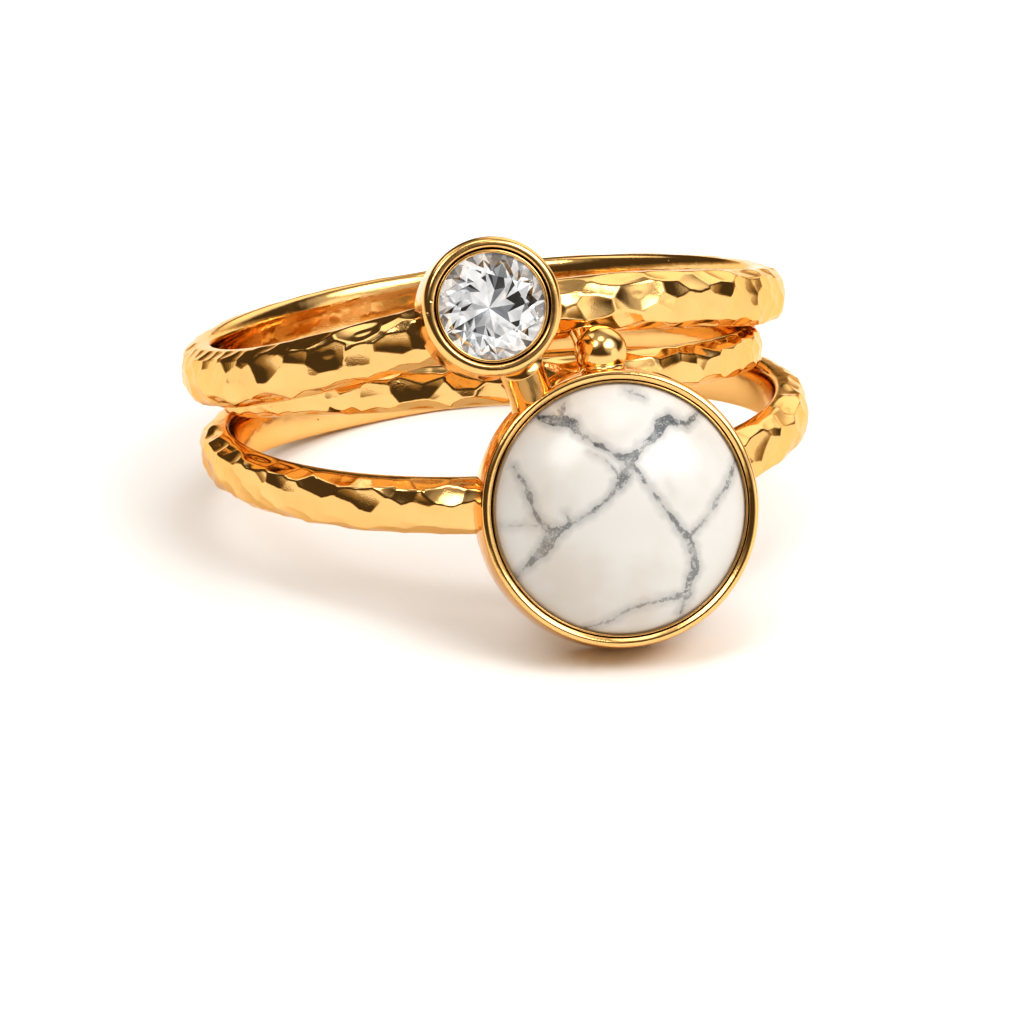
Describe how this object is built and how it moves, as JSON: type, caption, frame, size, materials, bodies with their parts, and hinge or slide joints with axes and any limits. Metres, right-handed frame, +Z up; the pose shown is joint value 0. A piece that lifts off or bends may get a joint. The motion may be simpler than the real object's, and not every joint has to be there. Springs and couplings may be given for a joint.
{
  "type": "three-band stacked ring",
  "caption": "Soldered stack of hammered gold finger bands that fan open, with a bezel-set howlite cabochon, a small clear brilliant and a gold ball.",
  "frame": {"origin": "on the surface that the ring rests on, under the middle of its box", "axes": "+Z up from that surface, -Y the front, the way the small stone faces, +X to the right seen from the front; the finger axis leans about 14 degrees back from +Z"},
  "size_m": [0.0202, 0.0234, 0.0132],
  "materials": {
    "gold": "polished, hammered outside",
    "howlite": "polished",
    "clear_stone": "faceted and polished"
  },
  "bodies": {
    "root": {"ring_metal": "gold", "howlite_cabochon": "howlite", "clear_brilliant": "clear_stone"}
  },
  "joints": []
}
